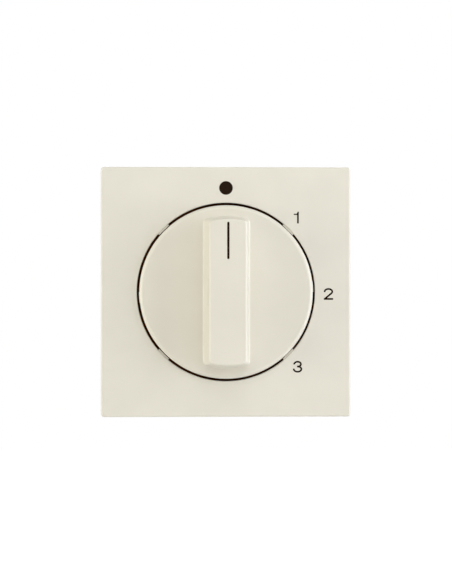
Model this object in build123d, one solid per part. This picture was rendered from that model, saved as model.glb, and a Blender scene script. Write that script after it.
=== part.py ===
from build123d import *
from math import atan2, cos, degrees, radians, sin, sqrt
import os

# Flush rotary switch with an off position and three steps.
# Millimetres. The wall is the plane y = 0, the front faces -Y and +Z is up.
# The origin is on the knob's axis. A compass angle is counted clockwise from
# the top, as seen from the front.

# Fits and general clearances
snug = 0.02             # pieces that are pressed or screwed together
running = 0.05          # radial clearance of a turning shaft
loose = 0.3             # clearance round a piece that only passes through
contact_gap = 0.1       # between the wiper and what it slides over

# Centre plate
plate_side = 55.0
plate_front = 11.0      # front face ahead of the wall
plate_wall = 2.4
plate_edge = 0.4        # rounding round the front face
plate_corner = 0.7      # rounding of the four upright corners
skirt_wall = 1.6
skirt_depth = 8.5
hole_edge = 0.2
collar_wall = 1.6
collar_depth = 4.6
lug_count = 4
lug_reach = 0.4
lug_width = 3.1
post_radius = 1.5
post_across = 23.4      # posts that stand on the support frame
post_up = 12.0
catch_width = 8.0       # snap catches at the top and bottom
catch_gap = 0.28        # from the collar to the catches
catch_thickness = 1.4
catch_reach = 0.6
catch_lip = 1.1

# Print on the plate
print_depth = 0.2
dot_radius = 1.5
dot_margin = 3.28       # middle of the dot from the hole's edge
numeral_margins = (2.95, 3.01, 3.21)
numeral_angles = (43.4, 91.1, 136.2)
numeral_height = 2.58
numeral_width = 2.06
numeral_stroke = 0.38
one_width = 1.12
one_flag = 0.26         # thickness of the flag
one_flag_drop = 0.57    # middle of the flag below the top
one_flag_rise = 0.12    # how far its root curves up to the stem
two_bow = 0.53          # height of the bow, as a share of the whole
two_bow_start = 190.0   # its free end, in degrees
two_bow_end = 320.0     # where it meets the slope
three_upper = 0.48      # height of the upper bow, as a share of the whole
three_upper_width = 0.88  # its width, as a share of the lower one's
three_upper_end = 188.0
three_lower_end = 192.0
three_middle = 0.14     # reach of the middle bar to the left of the bows

# Knob
knob_radius = 19.08
knob_gap = 0.54         # from the knob to the plate's hole
knob_proud = 1.8        # face ahead of the plate's face
knob_rim = 0.9          # rounding of the rim
disc_wall = 2.0
knob_skirt_wall = 1.5
hook_count = 4
hook_span = 26.0        # degrees
hook_reach = 1.2
hook_thickness = 1.1
slit_width = 0.8
rim_pad_reach = 0.08    # two small pads on the rim
rim_pad_span = 7.0      # degrees
grip_end_inset = 2.48   # ends of the grip inside the knob's edge
grip_end_draft = 0.6    # lean of the two ends, at the top
grip_base_width = 10.5
grip_top_width = 8.1
grip_height = 8.0
grip_foot = 0.3
grip_round = 0.5
grip_wall = 1.7
hub_radius = 5.2
hub_back = 4.4          # rear end of the hub ahead of the wall
rib_thickness = 1.1
pointer_width = 0.5
pointer_length = 8.1
pointer_margin = 0.75   # outer end of the line from the grip's top end
pointer_depth = 0.3

# Spindle and its clip
spindle_radius = 3.0
spindle_front = 10.2
spindle_flat = 2.2      # flat from the axis
bore_extra = 0.3        # the knob's bore runs past the spindle
journal_radius = 2.0
journal_back = 20.6
spindle_collar_radius = 4.4
spindle_collar_wall = 1.0
clip_groove_radius = 2.4
clip_radius = 4.4
clip_thickness = 0.5
clip_opening = 70.0     # degrees
leaf_thickness = 0.45
leaf_width = 2.4
leaf_length = 4.8

# Support frame
frame_side = 52.0
frame_thickness = 1.0
frame_rim = 0.3         # rim that stands behind the sheet and lies on the wall
frame_rim_width = 1.2
frame_corner = 3.0
box_screw_circle = 60.0
box_screw_radius = 1.75

# Housing, behind the wall's face
housing_side = 39.6
housing_chamfer = 6.0
housing_wall = 1.6
housing_back = 26.0
cover_back = 3.0
floor_front = 18.0
neck_radius = 6.8
neck_length = 3.2
neck_gap = 0.7
bearing_depth = 3.0
core_radius = 10.0
core_depth = 3.5
pillar_offset = 15.8
pillar_radius = 2.8

# Screws
screw_radius = 1.25
screw_back = 14.0
pan_radius = 2.3
pan_height = 1.4
sunk_radius = 2.4
sunk_height = 1.3
recess_width = 0.7
recess_length = 2.6
recess_depth = 0.8

# Detent wheel and rotor
rotor_back = 14.4
wheel_radius = 10.8
wheel_thickness = 4.0
notch_count = 8
notch_radius = 1.6
notch_depth = 0.8
rotor_waist = 6.4
carrier_radius = 9.8
carrier_thickness = 2.5
peg_radius = 0.7
peg_offset = 4.2
peg_length = 0.9
spring_thickness = 0.4
detent_angles = (45.0, 225.0)
detent_radius = 12.9    # straight part of the detent spring
detent_half = 6.4       # from its nose to each holder
detent_nose = 2.0
detent_height = 3.4
holder_along = 2.0
holder_across = 2.6

# Contacts
strip_thickness = 0.8
strip_width = 3.2
pad_circle = 9.0
pad_radius = 1.8
pad_angles = (270.0, 315.0, 0.0)
tip_radius = 1.2
tip_height = 0.4
ring_inner = 4.4
ring_outer = 6.2
wiper_rest = 225.0      # where the long finger points at the off position
wiper_width = 3.0
wiper_plate_length = 6.0
wiper_plate_width = 11.0

# Terminals, one near each corner of the housing
pocket_inner = 4.6
pocket_outer = 12.6
pocket_low = 12.2
pocket_high = 18.2
pocket_back = 23.9
leg_across = 8.6
leg_width = 5.0
wire_across = 7.2
wire_up = 15.9
wire_radius = 1.2
wire_funnel = 0.7
button_across = 10.6
button_side = 2.3
button_proud = 1.0
button_flange = 3.2
button_flange_wall = 1.1
clamp_width = 6.6
clamp_root = 2.2        # bend of the clamp spring from the pocket's wall
clamp_tip = 0.9         # tip of the clamp spring behind the floor's face

# Claws that grip the wall box
claw_width = 9.0
claw_thickness = 1.0
claw_front = 8.0
claw_inner = 20.4
claw_pivot = 21.0
claw_arm = 25.3
claw_tip = 26.1
claw_length = 11.0
claw_bend = 1.0
claw_hole_radius = 1.85
claw_screw_across = 22.9
claw_screw_radius = 1.5
claw_screw_back = 13.0
claw_head_radius = 2.5
claw_head_height = 2.0
ledge_depth = 1.25
rail_thickness = 1.4
rail_reach = 4.2
rail_front = 4.2
rail_back = 24.0

# Places that follow from the sizes above
hole_radius = knob_radius + knob_gap
catch_inner = hole_radius + collar_wall + catch_gap
dot_height = hole_radius + dot_margin
grip_end_radius = knob_radius - grip_end_inset
pointer_end = grip_end_radius - grip_end_draft - pointer_margin

# Depths that follow from the sizes above
y_plate = -plate_front
y_plate_back = y_plate + plate_wall
y_collar = y_plate + collar_depth
y_disc = y_plate - knob_proud
y_disc_back = y_disc + disc_wall
y_grip = y_disc - grip_height
y_hook = y_collar + loose
y_knob_back = y_hook + hook_thickness
y_seat = -frame_rim
y_frame = y_seat - frame_thickness
y_neck = -neck_length
y_base = cover_back
y_wheel = y_base + contact_gap + spindle_collar_wall + contact_gap
y_wheel_back = y_wheel + wheel_thickness
y_strip = floor_front - strip_thickness
y_tip = y_strip - tip_height


def slab(shape, y_front, y_back):
    """Extrude a sketch, drawn as seen from the front, between two depths."""
    plane = Plane(origin=(0, y_back, 0), x_dir=(1, 0, 0), z_dir=(0, -1, 0))
    return extrude(plane * shape, amount=y_back - y_front)


def bar(radius, y_front, y_back, x=0.0, z=0.0):
    """Round bar along the depth."""
    return slab(Pos(x, z) * Circle(radius), y_front, y_back)


def turned(*points):
    """Solid of revolution about the knob's axis from (radius, depth) points."""
    return revolve(Plane.XY * Polygon(*points, align=None), Axis.Y, 360)


def compass(angle, radius):
    """Point at a compass angle, as (across, up)."""
    return (radius * sin(radians(angle)), radius * cos(radians(angle)))


def sector(span, direction):
    """Wedge with its point on the axis, about a compass direction."""
    left = compass(direction - span / 2, plate_side)
    right = compass(direction + span / 2, plate_side)
    return Polygon((0, 0), right, left, align=None)


def octagon(inset=0.0):
    """Square with cut corners that the housing is made to."""
    side = housing_side - 2 * inset
    cut = housing_chamfer - inset * (2 - sqrt(2))
    square = Rectangle(side, side)
    return chamfer(square.vertices(), cut)


def strip_between(start, end, width):
    """Flat bar between two points, seen from the front."""
    path = Line(start, end)
    return trace(path, width)


def cross_recess(y_front):
    """Cross slot for a screw's head, open to the front."""
    arm = Rectangle(recess_length, recess_width)
    return slab(arm + Rot(0, 0, 90) * arm, y_front, y_front + recess_depth)


def bow(radius_x, radius_z, middle, free_end, joined_end):
    """Open oval stroke, without the part between two angles in degrees."""
    half = numeral_stroke / 2
    ring = Ellipse(radius_x + half, radius_z + half) - Ellipse(radius_x - half, radius_z - half)
    wedge = [(0, 0)]
    for share in (0, 0.25, 0.5, 0.75, 1):
        angle = radians(free_end + (joined_end - free_end) * share)
        wedge.append((numeral_height * radius_x * cos(angle), numeral_height * radius_z * sin(angle)))
    return Pos(0, middle) * (ring - Polygon(*wedge, align=None))


def numeral_one():
    """Stem and flag of the 1, centred on its own box."""
    top = numeral_height / 2
    right = one_width / 2
    stem_left = right - numeral_stroke
    flag_top = top - one_flag_drop + one_flag / 2
    flag_low = flag_top - one_flag
    return Polygon(
        (stem_left, -top),
        (right, -top),
        (right, top),
        (stem_left + one_flag_rise, top),
        (stem_left, flag_top + one_flag_rise),
        (stem_left - one_flag_rise, flag_top),
        (-right, flag_top),
        (-right, flag_low),
        (stem_left, flag_low),
        align=None,
    )


def numeral_two():
    """Bow, slope and foot of the 2."""
    h = numeral_height / 2 - numeral_stroke / 2
    w = numeral_width / 2 - numeral_stroke / 2
    radius = h * two_bow
    end = (w * cos(radians(two_bow_end)), h - radius + radius * sin(radians(two_bow_end)))
    slope = strip_between(end, (-w, -h), numeral_stroke)
    foot = strip_between((-numeral_width / 2, -h), (numeral_width / 2, -h), numeral_stroke)
    joint = Pos(*end) * Circle(numeral_stroke / 2)
    return bow(w, radius, h - radius, two_bow_start, two_bow_end) + joint + slope + foot


def numeral_three():
    """Two bows and the short middle bar of the 3."""
    h = numeral_height / 2 - numeral_stroke / 2
    w = numeral_width / 2 - numeral_stroke / 2
    small = h * three_upper
    large = h - small
    middle = large - small
    upper = bow(w * three_upper_width, small, h - small, three_upper_end, 270)
    lower = mirror(bow(w, large, h - large, three_lower_end, 270), Plane.XZ)
    bar_end = w * three_upper_width / 2
    return upper + lower + strip_between((-three_middle, middle), (bar_end, middle), numeral_stroke)


def numerals():
    """The three numerals at their places on the plate."""
    shapes = (numeral_one(), numeral_two(), numeral_three())
    sketch = Sketch()
    for shape, angle, margin in zip(shapes, numeral_angles, numeral_margins):
        across, up = compass(angle, hole_radius + margin)
        sketch += Pos(across, up) * shape
    return sketch


def scale_numerals():
    """Printed numerals, let into the plate's face."""
    return slab(numerals(), y_plate, y_plate + print_depth)


def scale_dot():
    """Printed dot that marks the off position."""
    return bar(dot_radius, y_plate, y_plate + print_depth, 0, dot_height)


def plate_catches():
    """Snap catches that go through the support frame and hook behind it."""
    arm = Rectangle(catch_width, catch_thickness)
    lip = Rectangle(catch_width, catch_thickness + catch_reach)
    up = catch_inner + catch_thickness / 2
    parts = slab(Pos(0, up) * arm, y_plate_back, catch_lip)
    parts += slab(Pos(0, up + catch_reach / 2) * lip, y_seat + contact_gap, catch_lip)
    return parts + mirror(parts, Plane.XY)


def plate_lugs():
    """Small lugs on the hole's edge, halfway between the upright and the level."""
    lug = Rectangle(lug_width, lug_reach + collar_wall / 2)
    outer = hole_radius - lug_reach + (lug_reach + collar_wall / 2) / 2
    ring = Sketch()
    for n in range(lug_count):
        angle = 360 / lug_count * (n + 0.5)
        ring += Rot(0, 0, angle) * Pos(0, outer) * lug
    ring -= Circle(hole_radius - lug_reach)
    return slab(ring, y_plate + hole_edge, y_collar)


def centre_plate():
    """Square plate with its skirt, the knob's collar, posts and catches."""
    outline = RectangleRounded(plate_side, plate_side, plate_corner)
    inside = Rectangle(plate_side - 2 * skirt_wall, plate_side - 2 * skirt_wall)
    shell = slab(outline, y_plate, y_plate + skirt_depth)
    shell = fillet(shell.faces().sort_by(Axis.Y)[0].edges(), plate_edge)
    shell -= slab(inside, y_plate_back, y_plate + skirt_depth)
    relief_front = y_frame - claw_head_height - loose
    for across in (-claw_screw_across, claw_screw_across):
        shell -= bar(claw_head_radius + loose, relief_front, y_plate + skirt_depth, across)
    shell += bar(hole_radius + collar_wall, y_plate_back, y_collar)
    for across in (-post_across, post_across):
        for up in (-post_up, post_up):
            shell += bar(post_radius, y_plate_back, y_frame, across, up)
    shell += plate_catches()
    shell -= bar(hole_radius, y_plate, y_collar)
    shell -= turned((0, y_plate), (hole_radius + hole_edge, y_plate), (0, y_plate + hole_radius + hole_edge))
    shell += plate_lugs()
    return shell - scale_numerals() - scale_dot()


def grip_form(inset, y_back, foot):
    """Tapered bar with round ends, moved inwards by an inset on every side."""
    base = grip_base_width / 2 - inset
    top = grip_top_width / 2 - inset
    end = grip_end_radius - inset
    front = y_grip + inset
    outline = Polygon(
        (-base, y_back),
        (base, y_back),
        (base - foot, y_back - foot),
        (top, front),
        (-top, front),
        (foot - base, y_back - foot),
        align=None,
    )
    prism = extrude(Plane.XY * outline, amount=grip_end_radius, both=True)
    return prism & turned((0, front), (end - grip_end_draft, front), (end, y_back), (0, y_back))


def pointer_outline():
    """Round ended line on top of the grip."""
    middle = pointer_end - pointer_length / 2
    return Pos(0, middle) * Rot(0, 0, 90) * SlotOverall(pointer_length, pointer_width)


def pointer_line():
    """Dark line let into the grip."""
    return slab(pointer_outline(), y_grip, y_grip + pointer_depth)


def knob_hooks():
    """Hooks that hold the knob behind the plate's collar."""
    ring = Circle(knob_radius + hook_reach) - Circle(knob_radius - knob_skirt_wall)
    wedges = Sketch()
    for n in range(hook_count):
        wedges += sector(hook_span, 360 / hook_count * n)
    return slab(ring & wedges, y_hook, y_knob_back)


def knob_slits():
    """Slits beside each hook that let it spring inwards."""
    slit = Rectangle(slit_width, 2 * knob_skirt_wall + hook_reach)
    cuts = Sketch()
    for n in range(hook_count):
        for side in (-1, 1):
            angle = 360 / hook_count * n + side * (hook_span / 2 + 2 * slit_width)
            cuts += Rot(0, 0, angle) * Pos(0, knob_radius) * slit
    return slab(cuts, y_collar - collar_depth / 2, y_knob_back)


def rim_pads():
    """Two small pads on the rim, at the right and at the left."""
    ring = Circle(knob_radius + rim_pad_reach) - Circle(knob_radius - rim_pad_reach)
    right = 90 - rim_pad_span / 2
    wedges = sector(rim_pad_span, right) + sector(rim_pad_span, right + 180)
    return slab(ring & wedges, y_disc + knob_rim, y_hook)


def knob_bore():
    """Bore for the spindle, with its flat set back by the leaf spring."""
    flat = spindle_flat + leaf_thickness + 2 * running
    shape = Circle(spindle_radius + snug)
    shape -= Pos(0, flat + spindle_radius / 2) * Rectangle(2 * spindle_radius + 1, spindle_radius)
    return slab(shape, -spindle_front - bore_extra, -hub_back)


def knob():
    """Disc with its skirt, hooks, hollow grip bar and hub."""
    inner = knob_radius - knob_skirt_wall
    profile = Polygon(
        (0, y_disc),
        (knob_radius, y_disc),
        (knob_radius, y_knob_back),
        (inner, y_knob_back),
        (inner, y_disc_back),
        (0, y_disc_back),
        align=None,
    )
    rim = profile.vertices().sort_by(Axis.X)[-2:].sort_by(Axis.Y)[0]
    body = revolve(Plane.XY * fillet(rim, knob_rim), Axis.Y, 360)
    body += rim_pads() + knob_hooks()
    body -= knob_slits()
    grip = grip_form(0, y_disc + contact_gap, grip_foot)
    grip = fillet(grip.faces().sort_by(Axis.Y)[0].edges(), grip_round)
    body += grip
    body -= grip_form(grip_wall, y_disc_back, 0)
    ribs = Rectangle(2 * inner + knob_skirt_wall, rib_thickness)
    ribs += Rot(0, 0, 90) * ribs
    body += slab(ribs & Circle(inner + knob_skirt_wall / 2), y_disc_back - disc_wall / 2, y_collar)
    body += bar(hub_radius, y_grip + grip_wall, -hub_back) & (
        grip_form(grip_wall / 2, y_disc, 0) + bar(hub_radius, y_disc, -hub_back)
    )
    return body - knob_bore() - pointer_line()


def knob_leaf_spring():
    """Flat steel leaf between the hub's flat and the spindle's flat."""
    middle = spindle_flat + running + leaf_thickness / 2
    shape = Pos(0, middle) * Rectangle(leaf_width, leaf_thickness)
    return slab(shape, -spindle_front, -spindle_front + leaf_length)


def spindle():
    """Shaft from the knob to the rear bearing, with a collar and a clip groove."""
    flat_part = bar(spindle_radius, -spindle_front, rotor_back)
    above = Pos(0, spindle_flat + spindle_radius / 2) * Rectangle(2 * spindle_radius, spindle_radius)
    flat_part -= slab(above, -spindle_front, -hub_back)
    flat_part -= slab(above, y_wheel, rotor_back)
    groove = bar(spindle_radius + 1, clip_front(), clip_front() + clip_thickness + contact_gap)
    groove -= bar(clip_groove_radius, clip_front(), clip_front() + clip_thickness + contact_gap)
    shaft = flat_part - groove
    shaft += bar(spindle_collar_radius, y_base + contact_gap, y_base + contact_gap + spindle_collar_wall)
    return shaft + bar(journal_radius, rotor_back, journal_back)


def clip_front():
    """Depth of the front of the clip's groove."""
    return y_neck - clip_thickness - 2 * contact_gap


def spindle_clip():
    """Open ring that keeps the spindle in its neck."""
    shape = Circle(clip_radius) - Circle(clip_groove_radius + snug) - sector(clip_opening, 180)
    return slab(shape, clip_front() + contact_gap / 2, clip_front() + clip_thickness + contact_gap / 2)


def support_frame():
    """Steel frame with its rim, the box screw holes, catch slots and screw holes."""
    shape = RectangleRounded(frame_side, frame_side, frame_corner)
    shape -= Circle(neck_radius + neck_gap)
    corner = box_screw_circle / 2 * sin(radians(45))
    for across in (-corner, corner):
        for up in (-corner, corner):
            shape -= Pos(across, up) * Circle(box_screw_radius)
    slot = catch_thickness + 2 * contact_gap
    for side in (-1, 1):
        up = side * (catch_inner + catch_thickness / 2)
        shape -= Pos(0, up) * Rectangle(catch_width + 2 * loose, slot)
        shape -= Pos(0, side * pillar_offset) * Circle(screw_radius + running)
        shape -= Pos(side * claw_screw_across, 0) * Circle(claw_screw_radius + 2 * running)
    rim_inner = frame_side - 2 * frame_rim_width
    rim = RectangleRounded(frame_side, frame_side, frame_corner)
    rim -= RectangleRounded(rim_inner, rim_inner, frame_corner - frame_rim_width)
    return slab(shape, y_frame, y_seat) + slab(rim, y_seat, 0)


def detent_shape(angle, width, grow):
    """Detent spring seen from the front, its nose pointing at the axis."""
    notch_floor = wheel_radius - notch_depth
    nose = notch_floor + spring_thickness / 2 + contact_gap * 2
    points = [
        (-detent_half - grow, detent_radius),
        (-detent_nose, detent_radius),
        (0, nose),
        (detent_nose, detent_radius),
        (detent_half + grow, detent_radius),
    ]
    path = FilletPolyline(*points, radius=spring_thickness)
    return Rot(0, 0, -angle) * trace(path, width)


def detent_spring(angle):
    """Leaf spring whose nose drops into the wheel's notches."""
    y_front = y_wheel + (wheel_thickness - detent_height) / 2
    return slab(detent_shape(angle, spring_thickness, 0), y_front, y_front + detent_height)


def mechanism_cover():
    """Front of the housing, with the spindle's neck and the spring holders."""
    cover = slab(octagon(), y_seat, y_base)
    cover += bar(neck_radius, y_neck, y_seat)
    for angle in detent_angles:
        for side in (-1, 1):
            holder = Pos(side * detent_half, detent_radius) * Rectangle(holder_along, holder_across)
            cover += slab(Rot(0, 0, -angle) * holder, y_base, y_wheel_back)
        seat = detent_shape(angle, spring_thickness + 2 * snug, snug)
        cover -= slab(seat, y_base + contact_gap, y_wheel_back)
    cover -= bar(spindle_radius + running, y_neck, y_base)
    for side in (-1, 1):
        cover -= bar(screw_radius + running, y_seat, y_base, 0, side * pillar_offset)
        cover -= sunk_screw(side * pillar_offset, snug, recessed=False)
    return cover


def sunk_screw(across, grow=0.0, recessed=True):
    """Countersunk screw flush with the cover's face."""
    head = turned(
        (0, y_seat),
        (sunk_radius + grow, y_seat),
        (screw_radius + grow, y_seat + sunk_height + grow),
        (screw_radius + grow, screw_back),
        (0, screw_back),
    )
    if recessed:
        head -= cross_recess(y_seat)
    return Pos(across, 0, 0) * head


def pan_screw(up):
    """Pan head screw that holds the frame, the cover and the base together."""
    head = bar(pan_radius, y_frame - pan_height, y_frame)
    head = fillet(head.faces().sort_by(Axis.Y)[0].edges(), pan_height / 2)
    head += bar(screw_radius, y_frame, screw_back)
    head -= cross_recess(y_frame - pan_height)
    return Pos(0, 0, up) * head


def corner_box(side_x, side_z, x0, x1, z0, z1, y_front, y_back):
    """Block in one quarter of the housing, given by its outer distances."""
    shape = Pos(side_x * (x0 + x1) / 2, side_z * (z0 + z1) / 2) * Rectangle(x1 - x0, z1 - z0)
    return slab(shape, y_front, y_back)


def wire_entry(side_x, side_z):
    """Hole with a funnel mouth for one conductor."""
    hole = bar(wire_radius, pocket_back, housing_back, side_x * wire_across, side_z * wire_up)
    mouth = Cone(wire_radius, wire_radius + wire_funnel, wire_funnel)
    place = Pos(side_x * wire_across, housing_back - wire_funnel / 2, side_z * wire_up)
    return hole + place * Rot(-90, 0, 0) * mouth


def base_housing():
    """Moulded base with pillars, floor, terminal pockets and claw rails."""
    base = slab(octagon(), y_base, housing_back)
    room = octagon(housing_wall)
    for place in ((pillar_offset, 0), (-pillar_offset, 0), (0, pillar_offset), (0, -pillar_offset)):
        room -= Pos(*place) * Circle(pillar_radius)
    base -= slab(room, y_base, floor_front)
    for place in ((pillar_offset, 0), (-pillar_offset, 0), (0, pillar_offset), (0, -pillar_offset)):
        base -= bar(screw_radius + snug, y_base, screw_back + loose, *place)
    base -= bar(journal_radius + running, floor_front, floor_front + bearing_depth)
    base -= bar(core_radius, housing_back - core_depth, housing_back)
    for side_x in (-1, 1):
        for side_z in (-1, 1):
            base -= corner_box(
                side_x, side_z, pocket_inner, pocket_outer, pocket_low, pocket_high, floor_front, pocket_back
            )
            base -= wire_entry(side_x, side_z)
            slot = button_side + 4 * running
            middle = Pos(side_x * button_across, side_z * wire_up) * Rectangle(slot, slot)
            base -= slab(middle, pocket_back, housing_back)
    return base + claw_guides()


def claw_guides():
    """Rails beside each claw and the ledge that it tips over."""
    rail_x = housing_side / 2 + rail_reach / 2
    rail_z = claw_width / 2 + loose + rail_thickness / 2
    ledge_x = (housing_side / 2 + claw_pivot) / 2
    guides = []
    for side in (-1, 1):
        for up in (-rail_z, rail_z):
            rail = Pos(side * rail_x, up) * Rectangle(rail_reach, rail_thickness)
            guides.append(slab(rail, rail_front, rail_back))
        ledge = Pos(side * ledge_x, 0) * Rectangle(claw_pivot - housing_side / 2, claw_width)
        guides.append(slab(ledge, claw_front - ledge_depth, claw_front - contact_gap / 2))
    return guides


def detent_rotor():
    """Notched wheel and contact carrier, keyed on the spindle."""
    wheel = Circle(wheel_radius)
    for n in range(notch_count):
        across, up = compass(360 / notch_count * n, wheel_radius - notch_depth + notch_radius)
        wheel -= Pos(across, up) * Circle(notch_radius)
    rotor = slab(wheel, y_wheel, y_wheel_back)
    rotor += bar(rotor_waist, y_wheel_back, rotor_back)
    rotor += bar(carrier_radius, rotor_back - carrier_thickness, rotor_back)
    for side in (-1, 1):
        across, up = compass(wiper_rest + 90, side * peg_offset)
        rotor += bar(peg_radius, rotor_back, rotor_back + peg_length, across, up)
    shape = Circle(spindle_radius + snug)
    height = spindle_flat + snug
    shape -= Pos(0, height + spindle_radius / 2) * Rectangle(2 * spindle_radius + 1, spindle_radius)
    return rotor - slab(shape, y_wheel, rotor_back)


def wiper_contact():
    """Springy bridge from the common ring to one of the three pads."""
    middle = rotor_back + spring_thickness / 2
    low = y_tip - contact_gap - spring_thickness / 2
    ring_middle = (ring_inner + ring_outer) / 2
    ring_low = y_strip - contact_gap - spring_thickness / 2
    start = wiper_plate_length / 2
    points = [
        (-ring_middle - spring_thickness * 2, ring_low - spring_thickness),
        (-ring_middle, ring_low),
        (-start, middle),
        (start, middle),
        (pad_circle, low),
        (pad_circle + tip_radius, low - spring_thickness),
    ]
    path = Polyline(*points)
    fingers = extrude(Plane.XY * trace(path, spring_thickness), amount=wiper_width / 2, both=True)
    plate = Rectangle(wiper_plate_length, wiper_plate_width)
    plate -= Circle(journal_radius + loose)
    for side in (-1, 1):
        plate -= Pos(0, side * peg_offset) * Circle(peg_radius + snug)
    fingers -= bar(journal_radius + loose, rotor_back, rotor_back + spring_thickness)
    wiper = fingers + slab(plate, rotor_back, rotor_back + spring_thickness)
    return Rot(0, wiper_rest - 90, 0) * wiper


def terminal_leg(side_x, side_z):
    """Part of a contact strip that turns back into its terminal pocket."""
    low = leg_across - leg_width / 2
    high = leg_across + leg_width / 2
    outer = pocket_high - snug
    flat = corner_box(side_x, side_z, low, high, wire_up - wire_radius, outer, y_strip, floor_front)
    inner = outer - strip_thickness
    leg = corner_box(side_x, side_z, low, high, inner, outer, floor_front, pocket_back - loose)
    return flat + leg


def contact_strip(start, side_x, side_z):
    """Strip on the housing's floor from the mechanism to its terminal."""
    end = (side_x * leg_across, side_z * wire_up)
    flat = slab(strip_between(start, end, strip_width), y_strip, floor_front)
    return flat + terminal_leg(side_x, side_z)


def step_contact(angle, side_x, side_z):
    """One of the three switched contacts, with its round pad."""
    place = compass(angle, pad_circle)
    return contact_strip(place, side_x, side_z) + bar(pad_radius, y_strip, floor_front, *place)


def common_contact(side_x, side_z):
    """Supply contact, with the ring that the wiper's short finger follows."""
    start = compass(degrees(atan2(side_x, side_z)), (ring_inner + ring_outer) / 2)
    strip = contact_strip(start, side_x, side_z)
    strip += bar(ring_outer, y_strip, floor_front)
    return strip - bar(ring_inner, y_strip, floor_front)


def contact_tips():
    """Silver tips on the three pads, as a group."""
    return [bar(tip_radius, y_tip, y_strip, *compass(angle, pad_circle)) for angle in pad_angles]


def clamp_line():
    """Free limb of a clamp spring, as (up, depth) at its root and its tip."""
    leg_face = pocket_high - snug - strip_thickness
    root = (pocket_low + clamp_root, pocket_back - 2 * loose)
    tip = (leg_face - spring_thickness, floor_front + clamp_tip)
    return root, tip


def turn_to_corner(solid, side_x, side_z, across):
    """Place a piece drawn in the (up, depth) plane beside its terminal."""
    upright = Plane(origin=(side_x * across, 0, 0), x_dir=(0, 0, side_z), z_dir=(-side_z, 0, 0))
    return upright * solid


def clamp_spring(side_x, side_z):
    """Bent leaf that presses the conductor against the contact's leg."""
    root, tip = clamp_line()
    back = pocket_low + spring_thickness
    points = [(back, floor_front + 2 * loose), (back, root[1]), root, tip]
    path = FilletPolyline(*points, radius=spring_thickness)
    shape = Plane.XY * trace(path, spring_thickness)
    middle = (pocket_inner + pocket_outer) / 2
    centred = extrude(shape, amount=clamp_width / 2, both=True)
    return turn_to_corner(centred, side_x, side_z, middle)


def release_button(side_x, side_z):
    """Push piece that bends the clamp spring to free the conductor."""
    (root_up, root_y), (tip_up, tip_y) = clamp_line()
    slope = (tip_y - root_y) / (tip_up - root_up)
    low = wire_up - button_side / 2
    high = wire_up + button_side / 2
    shift = 2 * loose
    outline = Polygon(
        (low, root_y + slope * (low - root_up) + shift),
        (high, root_y + slope * (high - root_up) + shift),
        (high, housing_back + button_proud),
        (low, housing_back + button_proud),
        align=None,
    )
    body = extrude(Plane.XY * outline, amount=button_side / 2, both=True)
    flange_back = pocket_back - contact_gap
    flange_low = low + button_side / 4
    flange = Polygon(
        (flange_low, flange_back - button_flange_wall),
        (high, flange_back - button_flange_wall),
        (high, flange_back),
        (flange_low, flange_back),
        align=None,
    )
    body += extrude(Plane.XY * flange, amount=button_flange / 2, both=True)
    return turn_to_corner(body, side_x, side_z, button_across)


def claw(side):
    """Bent steel claw with three teeth, drawn at rest against the housing."""
    middle = claw_front + claw_thickness / 2
    points = [
        (claw_inner, middle),
        (claw_arm, middle),
        (claw_arm, middle + claw_length - claw_bend),
        (claw_tip, middle + claw_length),
    ]
    path = FilletPolyline(*points, radius=claw_thickness / 2 + contact_gap)
    blank = extrude(Plane.XY * trace(path, claw_thickness), amount=claw_width / 2, both=True)
    blank -= bar(claw_hole_radius, claw_front - 1, claw_front + claw_thickness + 1, claw_screw_across)
    for up in (-claw_width / 6, claw_width / 6):
        gap = Pos(claw_tip, up) * Rectangle(claw_thickness * 2, claw_thickness)
        blank -= slab(gap, middle + claw_length - claw_bend / 2, middle + claw_length + claw_bend)
    return blank if side > 0 else mirror(blank, Plane.YZ)


def claw_screw(side):
    """Screw that draws the claw forwards, with its head on the frame."""
    head = bar(claw_head_radius, y_frame - claw_head_height, y_frame)
    head = fillet(head.faces().sort_by(Axis.Y)[0].edges(), claw_head_height / 3)
    screw = head + bar(claw_screw_radius, y_frame, claw_screw_back)
    screw -= cross_recess(y_frame - claw_head_height)
    return Pos(side * claw_screw_across, 0, 0) * screw


corners = {"1": (-1, -1), "2": (-1, 1), "3": (1, 1), "common": (1, -1)}

nodes = {
    "centre_plate": centre_plate(),
    "scale_dot": scale_dot(),
    "scale_numerals": scale_numerals(),
    "knob": knob(),
    "pointer_line": pointer_line(),
    "knob_leaf_spring": knob_leaf_spring(),
    "spindle": spindle(),
    "spindle_clip": spindle_clip(),
    "support_frame": support_frame(),
    "mechanism_cover": mechanism_cover(),
    "base_housing": base_housing(),
    "frame_screws": [pan_screw(side * pillar_offset) for side in (-1, 1)],
    "cover_screws": [sunk_screw(side * pillar_offset) for side in (-1, 1)],
    "detent_rotor": detent_rotor(),
    "wiper_contact": wiper_contact(),
    "contact_tips": contact_tips(),
    "common_contact": common_contact(*corners["common"]),
}
for number, angle in enumerate(detent_angles, start=1):
    nodes[f"detent_spring_{number}"] = detent_spring(angle)
for number, angle in zip("123", pad_angles):
    nodes[f"contact_{number}"] = step_contact(angle, *corners[number])
for name, corner in corners.items():
    nodes[f"clamp_spring_{name}"] = clamp_spring(*corner)
    nodes[f"release_button_{name}"] = release_button(*corner)
for name, side in (("left", -1), ("right", 1)):
    nodes[f"claw_{name}"] = claw(side)
    nodes[f"claw_screw_{name}"] = claw_screw(side)

os.makedirs("parts", exist_ok=True)
for name, shape in nodes.items():
    solid = Compound(children=shape) if isinstance(shape, list) else shape
    export_step(solid, f"parts/{name}.step")
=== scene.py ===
"""Flush rotary switch with a square plate, a round knob with a grip bar, and its insert.

Metres. The front faces -Y, +Z is up and the wall is the plane y = 0.
The origin is on the knob's axis.
"""

import math

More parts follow.
